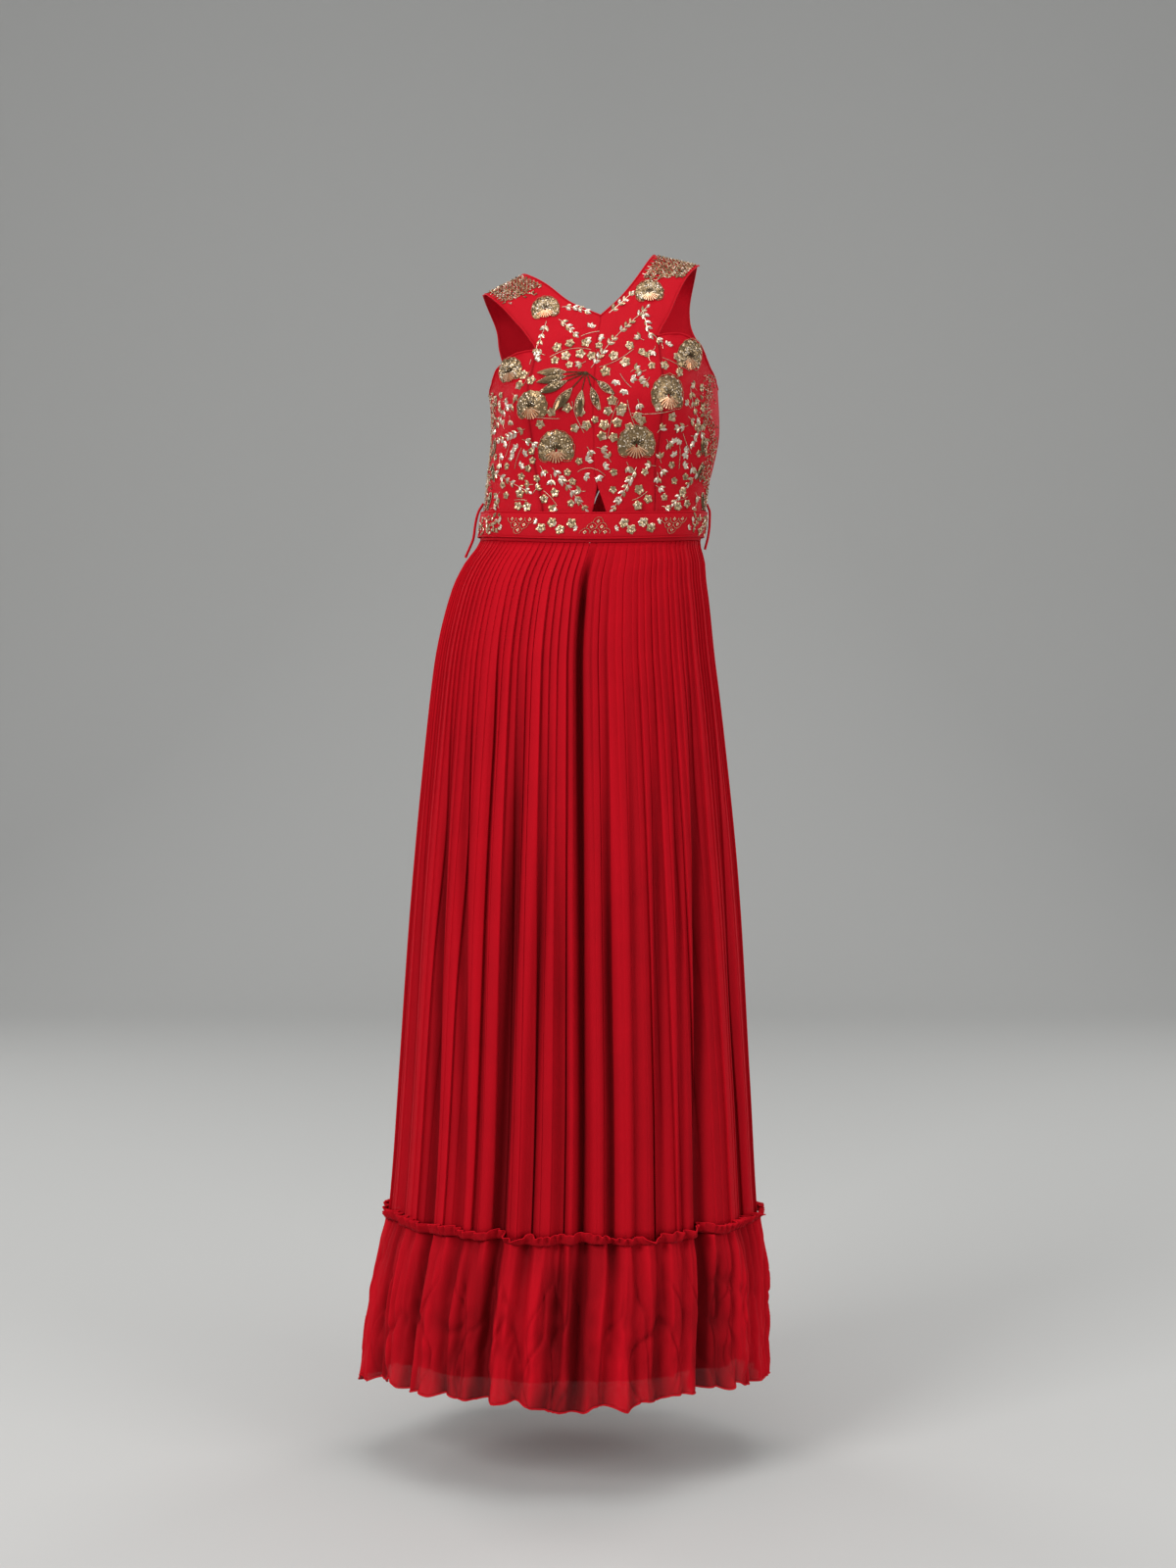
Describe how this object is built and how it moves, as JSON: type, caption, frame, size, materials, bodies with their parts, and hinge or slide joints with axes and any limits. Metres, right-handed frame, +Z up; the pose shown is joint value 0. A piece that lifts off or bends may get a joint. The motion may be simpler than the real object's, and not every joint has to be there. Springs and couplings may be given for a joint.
{
  "type": "anarkali gown",
  "caption": "Floor-length sleeveless gown with a fitted embroidered bodice, keyhole, belt, pleated skirt and gathered flounce.",
  "frame": {"origin": "between the shoulder straps, where they rest on the shoulders", "axes": "+Z up towards the neck, +X towards the wearer's left, -Y towards the front"},
  "size_m": [0.5038, 0.3672, 1.3868],
  "materials": {
    "georgette": "matt pleated georgette",
    "raw_silk": "raw silk, embroidered in antique gold and silver",
    "lining": "plain crepe lining"
  },
  "bodies": {
    "root": {"front_centre_left": "raw_silk", "front_centre_right": "raw_silk", "front_side_left": "raw_silk", "front_side_right": "raw_silk", "back_left": "raw_silk", "back_right": "raw_silk", "belt": "raw_silk", "waistband": "raw_silk", "belt_loop_left": "raw_silk", "belt_loop_right": "raw_silk", "skirt_front": "georgette", "skirt_back": "georgette", "skirt_lining_front": "lining", "skirt_lining_back": "lining", "flounce_front": "georgette", "flounce_back": "georgette", "flounce_frill": "georgette"}
  },
  "joints": []
}
